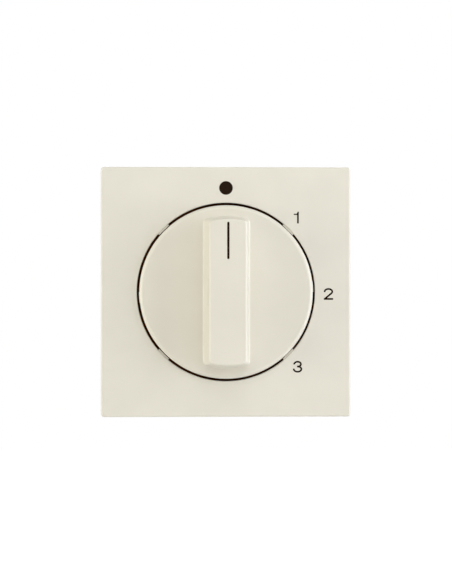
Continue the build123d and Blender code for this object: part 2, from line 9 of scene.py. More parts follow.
import bmesh
import bpy
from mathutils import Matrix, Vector


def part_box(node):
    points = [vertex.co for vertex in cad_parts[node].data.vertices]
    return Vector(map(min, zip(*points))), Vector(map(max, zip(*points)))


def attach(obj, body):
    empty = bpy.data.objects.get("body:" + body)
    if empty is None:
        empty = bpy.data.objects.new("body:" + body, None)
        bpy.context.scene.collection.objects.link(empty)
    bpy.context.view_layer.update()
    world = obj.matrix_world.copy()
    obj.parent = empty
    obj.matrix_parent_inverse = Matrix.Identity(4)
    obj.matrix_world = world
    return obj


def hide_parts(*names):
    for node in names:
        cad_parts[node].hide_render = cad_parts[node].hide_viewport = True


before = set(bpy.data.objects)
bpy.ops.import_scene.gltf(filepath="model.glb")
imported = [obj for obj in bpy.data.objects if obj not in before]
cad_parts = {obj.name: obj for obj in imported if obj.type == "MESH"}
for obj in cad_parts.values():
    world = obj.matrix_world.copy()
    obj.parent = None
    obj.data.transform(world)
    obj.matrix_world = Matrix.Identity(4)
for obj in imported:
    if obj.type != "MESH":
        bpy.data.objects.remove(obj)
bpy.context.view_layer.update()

bl_info = {
    "name": "Rotary switch",
    "version": (1, 0, 0),
    "blender": (4, 5, 0),
    "location": "3D View > Sidebar > Switch",
    "description": "Plate, knob, insert and stage of a flush rotary switch",
    "category": "Object",
}

MM = 0.001
OVERLAP = 0.3 * MM  # how far solids that are joined reach into each other
THIN_OVERLAP = 0.2 * MM  # the same inside the knob and on the cover
SHEET_BACK = -0.3 * MM  # depth of the frame sheet's back, which the cover rests on
PAST = 1.0 * MM  # how far a cutter reaches past what it cuts
RUNNING = 0.05 * MM  # room round a screw that passes through
SNUG = 0.02 * MM  # room round a screw that holds
MERGE = 1e-6  # points closer than this are one
HOLLOW_ROUND = 0.086  # bevel profile that is a hollow quarter circle
SWITCH = "switch"
KNOB = "knob"
SIDES = {"left": -1, "right": 1}
CORNERS = {"1": (-1, -1), "2": (-1, 1), "3": (1, 1), "common": (1, -1)}


def front_of(node):
    """Depth of a node's front."""
    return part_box(node)[0].y


def back_of(node):
    """Depth of a node's back."""
    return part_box(node)[1].y


# Selecting and shaping


def deselect():
    """Leave edit mode with nothing selected."""
    if bpy.context.mode != "OBJECT":
        bpy.ops.object.mode_set(mode="OBJECT")
    bpy.ops.object.select_all(action="DESELECT")


def pick(piece):
    """Make a piece the only selected object and the active one."""
    deselect()
    piece.select_set(True)
    bpy.context.view_layer.objects.active = piece


def settle(name):
    """Name the new primitive and put its place into its mesh."""
    piece = bpy.context.active_object
    piece.name = piece.data.name = name
    bpy.ops.object.transform_apply(location=True, rotation=True, scale=True)
    return piece


def rod(name, radius, front, back, x=0.0, z=0.0, segments=96, back_radius=None):
    """Round bar, or a cone, along the depth."""
    deselect()
    bpy.ops.mesh.primitive_cone_add(
        vertices=segments,
        radius1=radius,
        radius2=radius if back_radius is None else back_radius,
        depth=back - front,
        location=(x, (front + back) / 2, z),
        rotation=(-math.pi / 2, 0, 0),
    )
    return settle(name)


def block(name, low, high):
    """Box between two corners."""
    deselect()
    low, high = Vector(low), Vector(high)
    bpy.ops.mesh.primitive_cube_add(size=1, location=(low + high) / 2, scale=high - low)
    return settle(name)


def upright(name, width, height, front, back, x=0.0, z=0.0):
    """Box given by its face, seen from the front, and its two depths."""
    return block(name, (x - width / 2, front, z - height / 2), (x + width / 2, back, z + height / 2))


def line(name, points):
    """Line of edges through points in the plane of X and Y."""
    deselect()
    here = Vector(points[0])
    bpy.ops.mesh.primitive_plane_add(size=MM, location=(here.x, here.y, 0))
    piece = settle(name)
    bpy.ops.object.mode_set(mode="EDIT")
    bpy.ops.mesh.select_mode(type="VERT")
    bpy.ops.mesh.select_all(action="SELECT")
    bpy.ops.mesh.merge(type="CENTER")
    for point in points[1:]:
        step = Vector(point) - here
        bpy.ops.mesh.extrude_vertices_move(TRANSFORM_OT_translate={"value": (step.x, step.y, 0)})
        here = Vector(point)
    bpy.ops.object.mode_set(mode="OBJECT")
    return piece


def turned(name, points, steps=96):
    """Solid turned about the knob's axis from (radius, depth) points."""
    piece = line(name, points)
    bpy.ops.object.mode_set(mode="EDIT")
    bpy.ops.mesh.select_all(action="SELECT")
    bpy.ops.mesh.spin(steps=steps, angle=2 * math.pi, center=(0, 0, 0), axis=(0, 1, 0))
    bpy.ops.mesh.select_all(action="SELECT")
    bpy.ops.mesh.remove_doubles(threshold=MERGE)
    bpy.ops.mesh.normals_make_consistent(inside=False)
    bpy.ops.object.mode_set(mode="OBJECT")
    return piece


def select_edges(piece, test, bend=0.0):
    """Enter edit mode with the edges selected whose ends pass the test and whose faces bend enough."""
    pick(piece)
    bpy.ops.object.mode_set(mode="EDIT")
    bpy.ops.mesh.select_mode(type="EDGE")
    bpy.ops.mesh.select_all(action="DESELECT")
    mesh = bmesh.from_edit_mesh(piece.data)
    for edge in mesh.edges:
        if test(edge.verts[0].co, edge.verts[1].co) and edge.calc_face_angle(0) >= bend:
            edge.select_set(True)
    bmesh.update_edit_mesh(piece.data)


def select_faces(piece, test):
    """Enter edit mode with the faces selected whose middle and normal pass the test."""
    pick(piece)
    bpy.ops.object.mode_set(mode="EDIT")
    bpy.ops.mesh.select_mode(type="FACE")
    bpy.ops.mesh.select_all(action="DESELECT")
    mesh = bmesh.from_edit_mesh(piece.data)
    for face in mesh.faces:
        if test(face.calc_center_median(), face.normal):
            face.select_set(True)
    bmesh.update_edit_mesh(piece.data)


def near(a, b):
    """Whether two lengths agree to two micrometres."""
    return abs(a - b) < 2 * MERGE


def round_edges(piece, width, segments, test, profile=0.5, bend=0.0):
    """Round the edges whose ends pass the test."""
    select_edges(piece, test, bend)
    bpy.ops.mesh.bevel(
        offset=width, segments=segments, profile=profile, affect="EDGES", clamp_overlap=False
    )
    bpy.ops.object.mode_set(mode="OBJECT")


def round_depth(piece, depth, width, segments, profile=0.5):
    """Round the outline of a flat face at one depth."""
    round_edges(piece, width, segments, lambda a, b: near(a.y, depth) and near(b.y, depth), profile)


def round_corners(piece, width, segments, length):
    """Round the sharp edges along the depth that are longer than a length."""
    round_edges(piece, width, segments, lambda a, b: abs(a.y - b.y) > length, bend=math.radians(30))


def sink_selected(wall, travel):
    """Move the selected face along the depth, leaving a wall round it."""
    bpy.ops.mesh.inset(thickness=wall, use_even_offset=True)
    bpy.ops.mesh.extrude_region_move(TRANSFORM_OT_translate={"value": (0, travel, 0)})
    bpy.ops.object.mode_set(mode="OBJECT")


def hollow(piece, wall, depth):
    """Sink the back face towards the front, leaving a wall round it."""
    back = max(v.co.y for v in piece.data.vertices)
    select_faces(piece, lambda middle, normal: near(middle.y, back) and normal.y > 0.9)
    sink_selected(wall, -depth)


def slice_off(piece, point, normal):
    """Cut away what lies beyond a plane and close the cut."""
    pick(piece)
    bpy.ops.object.mode_set(mode="EDIT")
    bpy.ops.mesh.select_all(action="SELECT")
    bpy.ops.mesh.bisect(plane_co=point, plane_no=normal, use_fill=True, clear_outer=True)
    bpy.ops.object.mode_set(mode="OBJECT")


def turn(piece, angle):
    """Turn a piece about the knob's axis, clockwise as seen from the front."""
    pick(piece)
    bpy.ops.transform.rotate(value=-angle, orient_axis="Y", center_override=(0, 0, 0))
    bpy.ops.object.transform_apply(location=True, rotation=True, scale=True)
    return piece


def apply_last(piece):
    """Apply the modifier that was added last."""
    bpy.ops.object.modifier_apply(modifier=piece.modifiers[-1].name)


def combine(piece, other, operation):
    """Join another solid to a piece, or cut it away, and use it up."""
    pick(piece)
    bpy.ops.object.modifier_add(type="BOOLEAN")
    modifier = piece.modifiers[-1]
    modifier.operation = operation
    modifier.solver = "EXACT"
    modifier.object = other
    apply_last(piece)
    bpy.data.objects.remove(other)
    if not piece.data.polygons:
        raise RuntimeError(f"nothing is left of {piece.name}")


def join(piece, *others):
    """Add solids to a piece."""
    for other in others:
        combine(piece, other, "UNION")


def cut(piece, *others):
    """Cut solids out of a piece."""
    for other in others:
        combine(piece, other, "DIFFERENCE")


def copy_turned(piece, angles):
    """Copies of a piece about the knob's axis, each with its own mesh, in place of the piece."""
    copies = []
    for angle in angles:
        pick(piece)
        bpy.ops.object.duplicate()
        copies.append(turn(bpy.context.active_object, angle))
    bpy.data.objects.remove(piece)
    return copies


def copy_to_side(piece, name, side):
    """Copy of a right piece with its own mesh, mirrored where the side is -1."""
    pick(piece)
    bpy.ops.object.duplicate()
    bpy.ops.transform.resize(value=(side, 1, 1), center_override=(0, 0, 0))
    return settle(name)


def soften(piece, width, segments=2, angle=40):
    """Round every edge that is sharper than an angle."""
    pick(piece)
    bpy.ops.object.modifier_add(type="BEVEL")
    modifier = piece.modifiers[-1]
    modifier.width = width
    modifier.segments = segments
    modifier.limit_method = "ANGLE"
    modifier.angle_limit = math.radians(angle)
    modifier.use_clamp_overlap = True
    apply_last(piece)


def tidy(piece, angle=35):
    """Merge doubles, point the faces outwards and shade the piece."""
    pick(piece)
    bpy.ops.object.mode_set(mode="EDIT")
    bpy.ops.mesh.select_all(action="SELECT")
    bpy.ops.mesh.remove_doubles(threshold=MERGE)
    bpy.ops.mesh.dissolve_degenerate(threshold=MERGE)
    bpy.ops.mesh.normals_make_consistent(inside=False)
    bpy.ops.object.mode_set(mode="OBJECT")
    bpy.ops.object.shade_smooth_by_angle(angle=math.radians(angle))
    bpy.ops.object.modifier_add(type="WEIGHTED_NORMAL")
    piece.modifiers[-1].keep_sharp = True
    apply_last(piece)


def hand_over(piece, material, body, slot, *nodes):
    """Finish a piece: its material, the body it moves with and the nodes it stands for."""
    tidy(piece)
    piece.data.materials.clear()
    piece.data.materials.append(material)
    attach(piece, body)
    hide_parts(*nodes)


# Materials


class Finish:
    """Node-based material that is built up step by step."""

    def __init__(self, name):
        self.material = bpy.data.materials.new(name)
        self.material.use_nodes = True
        self.nodes = self.material.node_tree.nodes
        self.links = self.material.node_tree.links
        self.shader = self.nodes["Principled BSDF"]
        self.place = self.nodes.new("ShaderNodeTexCoord").outputs["Object"]

    def noise(self, size, detail=3.0, roughness=0.5, stretch=(1, 1, 1), distortion=0.0):
        """Noise whose features are about a given size, in metres."""
        mapping = self.nodes.new("ShaderNodeMapping")
        mapping.inputs["Scale"].default_value = stretch
        self.links.new(self.place, mapping.inputs["Vector"])
        node = self.nodes.new("ShaderNodeTexNoise")
        node.inputs["Scale"].default_value = 1 / size
        node.inputs["Detail"].default_value = detail
        node.inputs["Roughness"].default_value = roughness
        node.inputs["Distortion"].default_value = distortion
        self.links.new(mapping.outputs["Vector"], node.inputs["Vector"])
        return node.outputs["Fac"]

    def spread(self, value, low, high, low_in=0.3, high_in=0.7):
        """Map a value, such as a noise, from one range to another."""
        node = self.nodes.new("ShaderNodeMapRange")
        node.inputs["From Min"].default_value = low_in
        node.inputs["From Max"].default_value = high_in
        node.inputs["To Min"].default_value = low
        node.inputs["To Max"].default_value = high
        self.links.new(value, node.inputs["Value"])
        return node.outputs["Result"]

    def colour(self, value, *stops):
        """Colour ramp over (place, colour) stops."""
        node = self.nodes.new("ShaderNodeValToRGB")
        ramp = node.color_ramp
        while len(ramp.elements) < len(stops):
            ramp.elements.new(0.5)
        for element, (place, colour) in zip(ramp.elements, stops):
            element.position = place
            element.color = (*colour, 1)
        self.links.new(value, node.inputs["Fac"])
        self.links.new(node.outputs["Color"], self.shader.inputs["Base Color"])

    def paint_gap_shade(self, inner, outer, front, deep, colour=(0.15, 0.04, 0.005)):
        """Painted shade: a warm dark tone with the specular taken down, between two radii, that sets in
        between two depths; it stands in for the shade deep in a gap between parts.
        """
        parts = self.nodes.new("ShaderNodeSeparateXYZ")
        self.links.new(self.place, parts.inputs["Vector"])
        flat = self.nodes.new("ShaderNodeCombineXYZ")
        self.links.new(parts.outputs["X"], flat.inputs["X"])
        self.links.new(parts.outputs["Z"], flat.inputs["Z"])
        radius = self.nodes.new("ShaderNodeVectorMath")
        radius.operation = "LENGTH"
        self.links.new(flat.outputs["Vector"], radius.inputs[0])
        fade = 0.05 * MM
        inside = self.spread(radius.outputs["Value"], 0, 1, inner, inner + fade)
        outside = self.spread(radius.outputs["Value"], 1, 0, outer, outer + fade)
        depth = self.spread(parts.outputs["Y"], 0, 1, front, deep)
        painted_shade_share = self.node_product(self.node_product(inside, outside), depth)
        mix = self.nodes.new("ShaderNodeMix")
        mix.data_type = "RGBA"
        base = self.shader.inputs["Base Color"]
        self.links.new(painted_shade_share, mix.inputs["Factor"])
        self.links.new(base.links[0].from_socket, mix.inputs["A"])
        mix.inputs["B"].default_value = (*colour, 1)
        self.links.new(mix.outputs["Result"], base)
        # The painted shade takes the specular down as well, so the gap shows no reflection.
        gloss = self.spread(painted_shade_share, 0.5, 0.0, 0, 1)
        self.links.new(gloss, self.shader.inputs["Specular IOR Level"])

    def node_product(self, a, b):
        """Product of two values."""
        node = self.nodes.new("ShaderNodeMath")
        node.operation = "MULTIPLY"
        self.links.new(a, node.inputs[0])
        self.links.new(b, node.inputs[1])
        return node.outputs["Value"]

    def rough(self, value, low, high):
        """Roughness that varies between two values."""
        self.links.new(self.spread(value, low, high), self.shader.inputs["Roughness"])

    def bump(self, value, depth):
        """Fine relief of a given depth, in metres."""
        node = self.nodes.new("ShaderNodeBump")
        node.inputs["Strength"].default_value = 1.0
        node.inputs["Distance"].default_value = depth
        self.links.new(value, node.inputs["Height"])
        self.links.new(node.outputs["Normal"], self.shader.inputs["Normal"])

    def set(self, **values):
        """Constant values of the shader."""
        for name, value in values.items():
            socket = name.replace("_", " ").title().replace("Ior", "IOR")
            self.shader.inputs[socket].default_value = value


def shade(colour, factor):
    """A colour made lighter or darker."""
    return tuple(min(1.0, channel * factor) for channel in colour)


def plastic(name, colour, low=0.3, high=0.4, relief=0.6e-6, mottle=0.02, gap=None):
    """Moulded plastic: faint mottling, uneven gloss and a very fine grain, with painted shade in a gap where
    one is given.
    """
    finish = Finish(name)
    finish.colour(
        finish.noise(9 * MM, 2.0),
        (0.3, shade(colour, 1 - mottle)),
        (0.7, shade(colour, 1 + mottle)),
    )
    # Painted shade: warm dark tone in the gap, where one is given.
    if gap:
        finish.paint_gap_shade(*gap)
    finish.rough(finish.noise(1.2 * MM, 3.0), low, high)
    finish.bump(finish.noise(0.12 * MM, 2.0), relief)
    finish.set(ior=1.52)
    return finish.material


def metal(name, colour, low=0.25, high=0.45, grain=(1, 1, 1), size=0.6 * MM, relief=1.2e-6, gap=None):
    """Sheet or wire metal: cloudy plating, uneven gloss and fine drawing marks, with painted shade in a gap
    where one is given.
    """
    finish = Finish(name)
    finish.colour(
        finish.noise(2.5 * MM, 4.0, 0.6),
        (0.3, shade(colour, 0.86)),
        (0.7, shade(colour, 1.06)),
    )
    # Painted shade: warm dark tone in the gap, where one is given.
    if gap:
        finish.paint_gap_shade(*gap)
    marks = finish.noise(size, 4.0, 0.6, stretch=grain)
    finish.rough(marks, low, high)
    finish.bump(marks, relief)
    finish.set(metallic=1.0)
    return finish.material


def ink(name, colour):
    """Dull print with a slightly uneven coat."""
    finish = Finish(name)
    finish.colour(finish.noise(0.25 * MM, 2.0), (0.3, shade(colour, 0.9)), (0.7, shade(colour, 1.15)))
    finish.rough(finish.noise(0.3 * MM, 2.0), 0.5, 0.65)
    finish.bump(finish.noise(0.08 * MM, 2.0), 0.5e-6)
    finish.set(specular_ior_level=0.04)
    return finish.material


# Sizes and colours


def length(name, description, millimetres):
    """Length property with its default in millimetres."""
    return bpy.props.FloatProperty(
        name=name, description=description, default=millimetres * MM, min=0, unit="LENGTH", precision=5
    )


def degrees(name, description, value):
    """Angle property with its default in degrees."""
    return bpy.props.FloatProperty(
        name=name, description=description, default=math.radians(value), subtype="ANGLE"
    )


def tint(name, description, colour):
    """Colour property."""
    return bpy.props.FloatVectorProperty(
        name=name, description=description, default=colour, min=0, max=1, size=3, subtype="COLOR"
    )


def power(name, description, watts):
    """Power property of a lamp."""
    return bpy.props.FloatProperty(
        name=name, description=description, default=watts, min=0, unit="POWER"
    )


class SWITCH_PG_plate(bpy.types.PropertyGroup):
    """Sizes of the plate"""

    side: length("Side", "Side of the square plate", 55.0)
    wall: length("Face wall", "Thickness of the plate's face", 2.4)
    skirt_wall: length("Skirt wall", "Thickness of the skirt", 1.6)
    skirt_depth: length("Skirt depth", "Depth of the skirt from the face", 8.5)
    edge: length("Edge", "Rounding round the front face", 0.4)
    corner: length("Corner", "Rounding of the four upright corners", 0.7)
    hole_radius: length("Hole radius", "Radius of the knob's hole", 19.62)
    hole_edge: length("Hole edge", "Rounding of the hole's edge", 0.2)
    collar_wall: length("Collar wall", "Thickness of the collar behind the hole", 1.6)
    collar_depth: length("Collar depth", "Depth of the collar from the face", 4.6)
    lug_reach: length("Lug reach", "How far each lug reaches into the hole", 0.4)
    lug_root: length("Lug root", "How far each lug reaches into the collar", 0.6)
    lug_width: length("Lug width", "Width of each lug", 3.1)
    lug_edge: length("Lug edge", "Rounding of each lug's front", 0.08)
    post_across: length("Post across", "Posts from the middle, sideways", 23.4)
    post_up: length("Post up", "Posts from the middle, up and down", 12.0)
    post_radius: length("Post radius", "Radius of the posts", 1.5)
    catch_up: length("Catch up", "Arms of the catches from the middle, up and down", 22.2)
    catch_width: length("Catch width", "Width of each catch", 8.0)
    catch_thickness: length("Catch thickness", "Thickness of each catch's arm", 1.4)
    catch_reach: length("Catch reach", "How far each catch's lip reaches outwards", 0.6)
    catch_lip: length("Catch lip", "Depth of each catch's lip", 1.3)
    print_stand: length("Print stand", "How far the print stands ahead of the face", 0.012)


class SWITCH_PG_knob(bpy.types.PropertyGroup):
    """Sizes of the knob"""

    radius: length("Radius", "Radius of the disc", 19.08)
    proud: length("Proud", "How far the disc stands ahead of the plate", 1.8)
    rim: length("Rim", "Rounding of the rim", 0.9)
    disc_wall: length("Disc wall", "Thickness of the disc", 2.0)
    skirt_wall: length("Skirt wall", "Thickness of the disc's skirt", 1.5)
    skirt_clear: length("Skirt clearance", "From the skirt's back edge to the wall", 5.0)
    grip_radius: length("Grip end radius", "Radius that the grip's ends follow", 16.6)
    grip_base: length("Grip base width", "Width of the grip at the disc", 10.5)
    grip_top: length("Grip top width", "Width of the grip at its top", 8.1)
    grip_round: length("Grip rounding", "Rounding of the grip's top edges", 0.5)
    grip_corner: length("Grip corner", "Rounding of the grip's four corners", 0.55)
    grip_draft: length("Grip draft", "Lean of the grip's two ends over its height", 0.6)
    grip_foot: length("Grip foot", "Hollow rounding where the grip meets the disc", 0.3)
    grip_wall: length("Grip wall", "Wall of the hollow grip", 1.7)
    hub_radius: length("Hub radius", "Radius of the hub round the spindle", 5.2)
    bore_radius: length("Bore radius", "Radius of the hub's bore", 3.02)
    bore_flat: length("Bore flat", "From the axis to the flat of the bore", 2.75)
    rib: length("Rib", "Thickness of the ribs behind the disc", 1.1)
    rib_clear: length("Rib clearance", "From the ribs to the wall", 6.4)
    hook_reach: length("Hook reach", "How far each hook reaches outwards", 1.2)
    hook_width: length("Hook width", "Width of each hook", 9.1)
    hook_depth: length("Hook depth", "Depth of each hook", 1.1)
    slit_width: length("Slit width", "Width of the slits beside the hooks", 0.8)
    slit_depth: length("Slit depth", "Depth of the slits beside the hooks", 3.7)
    slit_angle: degrees("Slit angle", "From each hook's middle to its slits", 14.6)
    pad_height: length("Pad height", "Height of the two pads on the skirt", 0.08)
    pad_width: length("Pad width", "Width of the two pads on the skirt", 2.33)
    pad_angle: degrees("Pad angle", "Turn of the two pads from the level", -3.5)
    print_stand: length("Print stand", "How far the pointer line stands ahead of the grip", 0.012)


class SWITCH_PG_insert(bpy.types.PropertyGroup):
    """Sizes of the frame, the housing and the claws"""

    frame_corner: length("Frame corner", "Corner radius of the support frame", 3.0)
    frame_rim: length("Frame rim", "Width of the frame's rim", 1.2)
    sheet: length("Sheet", "Thickness of the frame's sheet", 1.0)
    box_circle: length("Box circle", "Radius of the circle of box screws", 30.0)
    box_hole_radius: length("Box hole radius", "Radius of the box screws' holes", 1.75)
    chamfer: length("Chamfer", "Cut corners of the housing", 6.0)
    wall: length("Wall", "Wall of the housing", 1.6)
    split: length("Split", "Depth where the cover ends", 3.0)
    floor_front: length("Floor", "Depth of the housing's floor", 18.0)
    pocket_back: length("Pocket back", "Depth of the terminal pockets' rear wall", 23.9)
    pillar_offset: length("Pillar offset", "Screw pillars from the axis", 15.8)
    pillar_radius: length("Pillar radius", "Radius of the screw pillars", 2.8)
    screw_radius: length("Screw radius", "Radius of the housing's screws", 1.25)
    screw_tip: length("Screw tip", "Depth of the screw holes in the pillars", 14.3)
    core_radius: length("Core radius", "Radius of the recess at the back", 10.0)
    core_depth: length("Core depth", "Depth of the recess at the back", 3.5)
    neck_radius: length("Neck radius", "Radius of the spindle's neck", 6.8)
    neck_bore: length("Neck bore", "Radius of the bore in the spindle's neck", 3.05)
    bearing_radius: length("Bearing radius", "Radius of the spindle's rear bearing", 2.05)
    holder_across: length("Holder across", "Spring holders from the spring's middle", 6.4)
    holder_up: length("Holder up", "Spring holders from the axis, outwards", 12.9)
    holder_back: length("Holder back", "Depth of the spring holders' back", 8.2)
    leaf_slot: length("Leaf slot", "Slot that holds the spring leaf", 0.44)
    wire_across: length("Wire across", "Wire holes from the middle, sideways", 7.2)
    wire_up: length("Wire up", "Wire holes from the middle, up and down", 15.9)
    wire_radius: length("Wire radius", "Radius of the wire holes", 1.2)
    funnel: length("Funnel", "Depth and flare of the wire holes' mouths", 0.7)
    button_across: length("Button across", "Release buttons from the middle, sideways", 10.6)
    button_slot: length("Button slot", "Width of the release buttons' openings", 2.5)
    rail_up: length("Rail up", "Claw rails from the middle, up and down", 5.5)
    claw_screw_across: length("Claw screw across", "Claw screws from the middle", 22.9)
    claw_screw_radius: length("Claw screw radius", "Radius of the claw screws", 1.5)
    thread_pitch: length("Thread pitch", "Pitch of the claw screws' thread", 0.5)
    claw_sheet: length("Claw sheet", "Thickness of the claws", 1.0)
    claw_width: length("Claw width", "Width of the claws, up and down", 9.0)


class SWITCH_PG_colours(bpy.types.PropertyGroup):
    """Colours of the plastics and metals"""

    plate: tint("Plate", "Cream plastic of the plate", (0.735, 0.715, 0.645))
    knob: tint("Knob", "Cream plastic of the knob", (0.73, 0.707, 0.63))
    print: tint("Print", "Ink of the dot, the numerals and the pointer", (0.016, 0.008, 0.004))
    zinc: tint("Zinc", "Zinc plated steel", (0.40, 0.40, 0.41))
    screw: tint("Screws", "Plated screw steel", (0.60, 0.57, 0.50))
    spring: tint("Springs", "Spring steel", (0.50, 0.50, 0.51))
    cover: tint("Cover", "Grey moulding of the cover", (0.24, 0.25, 0.26))
    base: tint("Base", "White moulding of the base", (0.74, 0.74, 0.71))
    button: tint("Buttons", "Orange moulding of the release buttons", (0.78, 0.22, 0.03))
    spindle: tint("Spindle", "Pale moulding of the spindle", (0.62, 0.60, 0.54))
    rotor: tint("Rotor", "Brown moulding of the rotor", (0.17, 0.11, 0.07))
    bronze: tint("Bronze", "Contact bronze", (0.66, 0.43, 0.26))
    brass: tint("Brass", "Contact brass", (0.78, 0.60, 0.30))
    silver: tint("Silver", "Silver of the contact tips", (0.82, 0.82, 0.80))


class SWITCH_PG_stage(bpy.types.PropertyGroup):
    """Camera, lights and floor"""

    azimuth: degrees("Azimuth", "Camera's turn round the switch", -3.0)
    elevation: degrees("Elevation", "Camera's height above the level", 0.2)
    distance: length("Distance", "Camera from the plate's middle", 600.0)
    focal: bpy.props.FloatProperty(
        name="Focal length", description="Focal length", default=168.05, subtype="DISTANCE_CAMERA"
    )
    drop: length("Floor", "Floor below the axis", 220.0)
    key: power("Key light", "Power of the lamp on the right", 4.1)
    fill: power("Fill light", "Power of the lamp on the left", 3.8)
    top: power("Top light", "Power of the lamp above", 1.45)
    rear: power("Rear light", "Power of the lamp behind", 2.5)
    sky: bpy.props.FloatProperty(
        name="Sky", description="Strength of the even light", default=0.33, min=0, max=1, subtype="FACTOR"
    )


# Pieces


def hole_cutter(size, front, back):
    """Solid that cuts the knob's hole with its rounded edge."""
    edge = size.hole_edge
    flare = size.hole_radius + edge
    steps = 5
    profile = [(0, front - PAST), (flare, front - PAST)]
    for step in range(steps + 1):
        angle = math.radians(-90 - 90 * step / steps)
        profile.append((flare + edge * math.cos(angle), front + edge + edge * math.sin(angle)))
    profile += [(size.hole_radius, back + PAST), (0, back + PAST)]
    return turned("hole", profile, 192)


class SWITCH_OT_plate(bpy.types.Operator):
    """Make the square plate with its skirt, collar, lugs, posts and catches"""

    bl_idname = "switch.plate"
    bl_label = "Plate"

    def execute(self, context):
        size = context.scene.switch_plate
        face = front_of("centre_plate")
        front = face + size.print_stand
        inner_face = face + size.wall
        root = inner_face - OVERLAP
        skirt_back = face + size.skirt_depth
        collar_back = face + size.collar_depth
        half = size.side / 2
        plate = upright("plate_shell", size.side, size.side, front, skirt_back)
        hollow(plate, size.skirt_wall, skirt_back - inner_face)
        round_edges(
            plate, size.corner, 5,
            lambda a, b: abs(a.y - b.y) > size.wall and near(abs(a.x), half) and near(abs(a.z), half),
        )
        round_depth(plate, front, size.edge, 6)
        join(plate, rod("collar", size.hole_radius + size.collar_wall, root, collar_back, segments=192))
        for x in (-size.post_across, size.post_across):
            for z in (-size.post_up, size.post_up):
                join(plate, rod("post", size.post_radius, root, front_of("support_frame"), x, z, segments=32))
        catch_back = back_of("centre_plate")
        lip_front = catch_back - size.catch_lip
        lip_height = size.catch_thickness + size.catch_reach
        for side in SIDES.values():
            arm_up = side * size.catch_up
            lip_up = side * (size.catch_up + size.catch_reach / 2)
            arm = upright("catch", size.catch_width, size.catch_thickness, root, catch_back, z=arm_up)
            lip = upright("lip", size.catch_width, lip_height, lip_front, catch_back, z=lip_up)
            join(plate, arm, lip)
        cut(plate, hole_cutter(size, front, collar_back))
        lug_front = front + size.hole_edge
        lug_height = size.lug_reach + size.lug_root
        lug_up = size.hole_radius + (size.lug_root - size.lug_reach) / 2
        lug = upright("lug", size.lug_width, lug_height, lug_front, collar_back, z=lug_up)
        round_depth(lug, lug_front, size.lug_edge, 3)
        join(plate, *copy_turned(lug, [math.radians(45 + 90 * n) for n in range(4)]))
        # Painted shade: the hole's wall and the collar's inside get a warm dark tone, standing in for the
        # shade deep in the gap round the knob.
        shaded_radius = size.hole_radius + size.hole_edge + 0.2 * MM
        gap = (0, shaded_radius, lug_front, front + 3 * size.hole_edge)
        cream = plastic("cream_plate", context.scene.switch_colours.plate, gap=gap)
        hand_over(plate, cream, SWITCH, "cream_plate", "centre_plate")
        return {"FINISHED"}


def disc_depth(size):
    """Depth of the disc's face."""
    return front_of("centre_plate") - size.proud


def grip_solid(name, size, front, back, inset, segments):
    """Tapered bar with leaning round ends, moved inwards by an inset on every side."""
    top = front_of("pointer_line")
    disc = disc_depth(size)
    draft = size.grip_draft / (disc - top)
    front_end = size.grip_radius - inset - draft * (disc - front)
    back_end = size.grip_radius - inset - draft * (disc - back)
    grip = rod(name, front_end, front, back, segments=segments, back_radius=back_end)
    rise = disc - size.grip_foot - top
    lean = size.grip_base / 2 - size.grip_foot - size.grip_top / 2
    for side in SIDES.values():
        normal = Vector((side * rise, -lean, 0)).normalized()
        slice_off(grip, (side * (size.grip_top / 2 - inset), top, 0), normal)
    return grip


def grip_and_foot(size, top):
    """Grip with its edges rounded, and the foot that runs out on the disc in a hollow curve."""
    disc = disc_depth(size)
    root = disc + OVERLAP
    grip = grip_solid("grip", size, top, root, 0, 96)
    round_corners(grip, size.grip_corner, 4, (disc - top) / 2)
    round_depth(grip, top, size.grip_round, 6)
    foot_front = disc - size.grip_foot
    foot = grip_solid("foot", size, foot_front, root, -size.grip_foot, 96)
    round_corners(foot, size.grip_corner + size.grip_foot, 4, size.grip_foot)
    round_depth(foot, foot_front, size.grip_foot, 4, HOLLOW_ROUND)
    return foot, grip


def hub(size, front):
    """Round hub that keeps inside the grip's walls where it is ahead of the disc."""
    disc = disc_depth(size)
    piece = rod("hub", size.hub_radius, front, back_of("knob"), segments=64)
    far = 20 * MM
    limit = size.grip_base / 2 - size.grip_wall / 2
    room = block("room", (-limit, front - PAST, -far), (limit, disc + PAST, far))
    join(room, block("behind", (-far, disc + PAST / 2, -far), (far, 0, far)))
    combine(piece, room, "INTERSECT")
    return piece


def hook_ring(size, back):
    """Four hooks round the skirt's back edge, cut from one ring."""
    front = back - size.hook_depth
    ring = rod("hooks", size.radius + size.hook_reach, front, back, segments=192)
    cut(ring, rod("inside", size.radius - size.skirt_wall / 2, front - PAST, back + PAST, segments=96))
    span = 2 * (size.radius + 2 * size.hook_reach)
    bars = [upright("bar", span, size.hook_width, front - PAST, back + PAST) for _ in range(2)]
    turn(bars[1], math.pi / 2)
    join(*bars)
    combine(ring, bars[0], "INTERSECT")
    return ring


def pads(size, back):
    """Two low pads on the skirt that touch the plate's lugs, cut from one ring."""
    disc = disc_depth(size)
    front, end = disc + size.rim, back - size.hook_depth
    ring = rod("pads", size.radius + size.pad_height, front, end, segments=192)
    bar = upright("bar", 2 * (size.radius + PAST), size.pad_width, front - PAST, end + PAST)
    combine(ring, turn(bar, size.pad_angle), "INTERSECT")
    cut(ring, rod("inside", size.radius - size.skirt_wall / 2, front - PAST, end + PAST, segments=96))
    return ring


